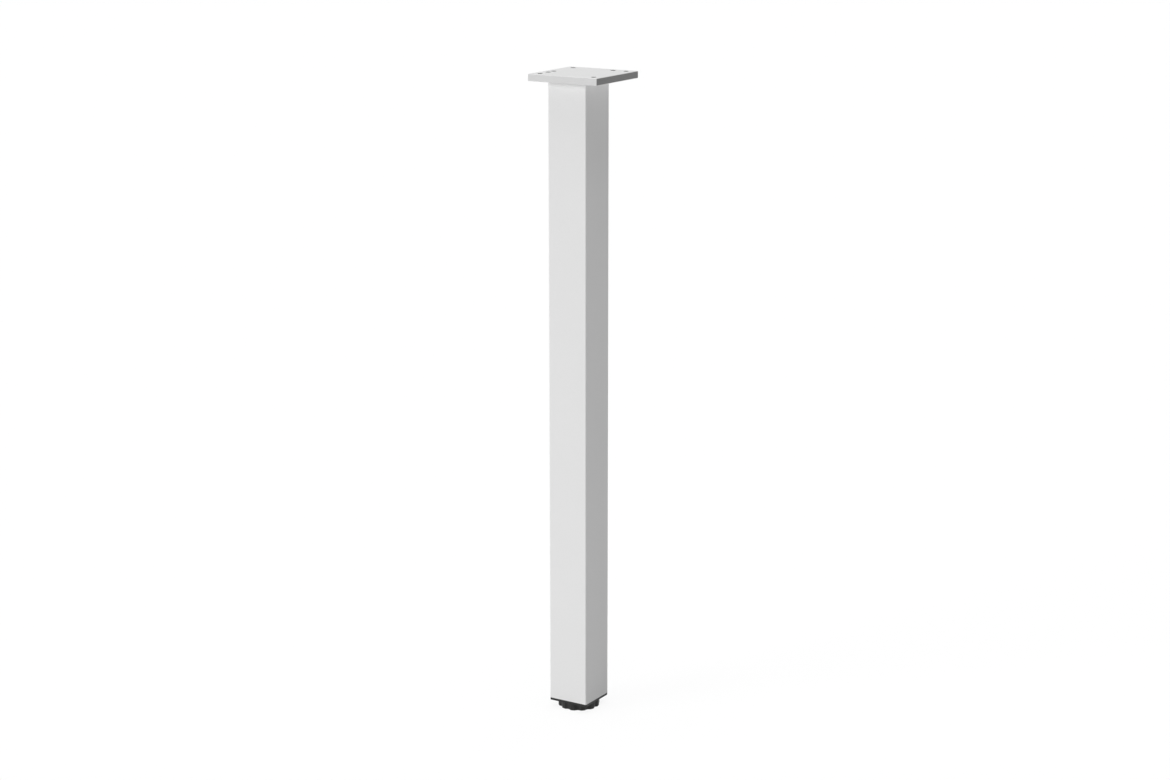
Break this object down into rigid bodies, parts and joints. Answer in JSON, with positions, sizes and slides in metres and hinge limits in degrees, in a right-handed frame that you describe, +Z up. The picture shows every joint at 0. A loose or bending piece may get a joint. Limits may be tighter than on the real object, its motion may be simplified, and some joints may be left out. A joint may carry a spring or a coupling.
{
  "type": "table leg",
  "caption": "Square steel table leg with an offset square mounting plate and a screw-in levelling foot with a scalloped knob.",
  "frame": {"origin": "centre of the foot's sole, on the tube's axis, in the plane of the floor", "axes": "+Z up the leg to the mounting plate, +Y towards the side where the plate reaches furthest out"},
  "size_m": [0.09, 0.09, 0.7483],
  "materials": {
    "powder_coat": "pale silver-grey powder coat, fine satin texture",
    "plate_coat": "pale silver-grey coat over plate steel, satin",
    "black_plastic": "black moulded plastic, fine grain",
    "plated_steel": "zinc plated"
  },
  "bodies": {
    "leg": {"mounting_plate": "plate_coat", "weld_bead": "powder_coat", "leg_tube": "powder_coat", "end_cap": "black_plastic", "cap_nut": "plated_steel"},
    "stud": {"foot_stud": "plated_steel"},
    "knob": {"foot_knob": "black_plastic"}
  },
  "joints": [
    {"name": "foot_travel", "type": "slide", "parent": "leg", "child": "stud", "axis": [0, 0, -1], "range_m": [0, 0.015]},
    {"name": "foot_turn", "type": "hinge", "parent": "stud", "child": "knob", "pos_m": [0, 0, 0.004], "axis": [0, 0, -1], "range_deg": [0, 3600]}
  ],
  "couplings": [
    {"joint": "foot_travel", "follows": "foot_turn", "m_per_rad": 0.00023873}
  ]
}
